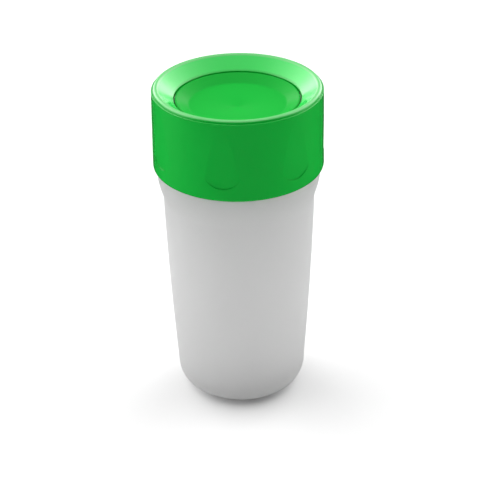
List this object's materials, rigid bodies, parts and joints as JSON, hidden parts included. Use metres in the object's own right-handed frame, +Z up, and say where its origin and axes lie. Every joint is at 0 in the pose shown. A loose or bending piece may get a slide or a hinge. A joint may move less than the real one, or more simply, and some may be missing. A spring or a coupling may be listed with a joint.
{
  "type": "spill-proof drinking cup",
  "caption": "Child's spill-proof drinking cup: tapered tumbler, green screw lid with a ring valve that opens all round its rim, and a light unit screwed into the base.",
  "frame": {"origin": "centre of the cup's base, on the surface it stands on", "axes": "+Z up along the cup's axis, the front towards -Y"},
  "size_m": [0.08, 0.08, 0.1586],
  "materials": {
    "tumbler_plastic": "satin, slightly translucent polypropylene",
    "green_plastic": "glossy moulded polypropylene",
    "clear_silicone": "milky translucent silicone",
    "white_plastic": "satin moulded plastic",
    "diffuser_plastic": "frosted translucent plastic",
    "board_laminate": "solder-masked laminate",
    "led_epoxy": "clear epoxy",
    "black_epoxy": "moulded epoxy",
    "ceramic": "glazed ceramic with tinned ends",
    "cell_steel": "nickel-plated steel",
    "spring_metal": "plated spring strip",
    "screw_steel": "zinc-plated steel"
  },
  "bodies": {
    "cup": {"cup_body": "tumbler_plastic"},
    "gasket": {"lid_gasket": "clear_silicone"},
    "lid": {"lid_shell": "green_plastic"},
    "carrier": {"valve_carrier": "white_plastic", "valve_bellows": "clear_silicone"},
    "valve": {"valve_dish": "green_plastic", "valve_membrane": "clear_silicone", "valve_clip": "white_plastic"},
    "seal": {"light_seal": "clear_silicone"},
    "light_unit": {"light_housing": "white_plastic", "light_diffuser": "diffuser_plastic", "circuit_board": "board_laminate", "leds": "led_epoxy", "controller_chip": "black_epoxy", "resistors": "ceramic", "switch_case": "black_epoxy", "coin_cells": "cell_steel", "cell_holder": "white_plastic", "cell_contact": "spring_metal", "cell_strap": "spring_metal", "housing_screws": "screw_steel"},
    "button": {"push_button": "clear_silicone", "switch_plunger": "black_epoxy"}
  },
  "joints": [
    {"name": "lid_lift", "type": "slide", "parent": "cup", "child": "gasket", "axis": [0, 0, 1], "range_m": [0, 0.024]},
    {"name": "lid_turn", "type": "hinge", "parent": "gasket", "child": "lid", "pos_m": [0, 0, 0.1194], "axis": [0, 0, 1], "range_deg": [0, 720]},
    {"name": "valve_release", "type": "slide", "parent": "lid", "child": "carrier", "axis": [0, 0, -1], "range_m": [0, 0.012]},
    {"name": "valve_press", "type": "slide", "parent": "carrier", "child": "valve", "axis": [0, 0, -1], "range_m": [0, 0.0018], "stiffness_N_per_m": 500, "springref_m": -0.0008, "deforming": ["valve_bellows"]},
    {"name": "light_drop", "type": "slide", "parent": "cup", "child": "seal", "axis": [0, 0, -1], "range_m": [0, 0.018]},
    {"name": "light_turn", "type": "hinge", "parent": "seal", "child": "light_unit", "pos_m": [0, 0, 0.0034], "axis": [0, 0, -1], "range_deg": [0, 1080]},
    {"name": "button_press", "type": "slide", "parent": "light_unit", "child": "button", "axis": [0, 0, 1], "range_m": [0, 0.0005], "stiffness_N_per_m": 1500, "springref_m": -0.0003}
  ],
  "couplings": [
    {"joint": "lid_lift", "follows": "lid_turn", "m_per_rad": 0.0019099},
    {"joint": "light_drop", "follows": "light_turn", "m_per_rad": 0.00095493}
  ]
}
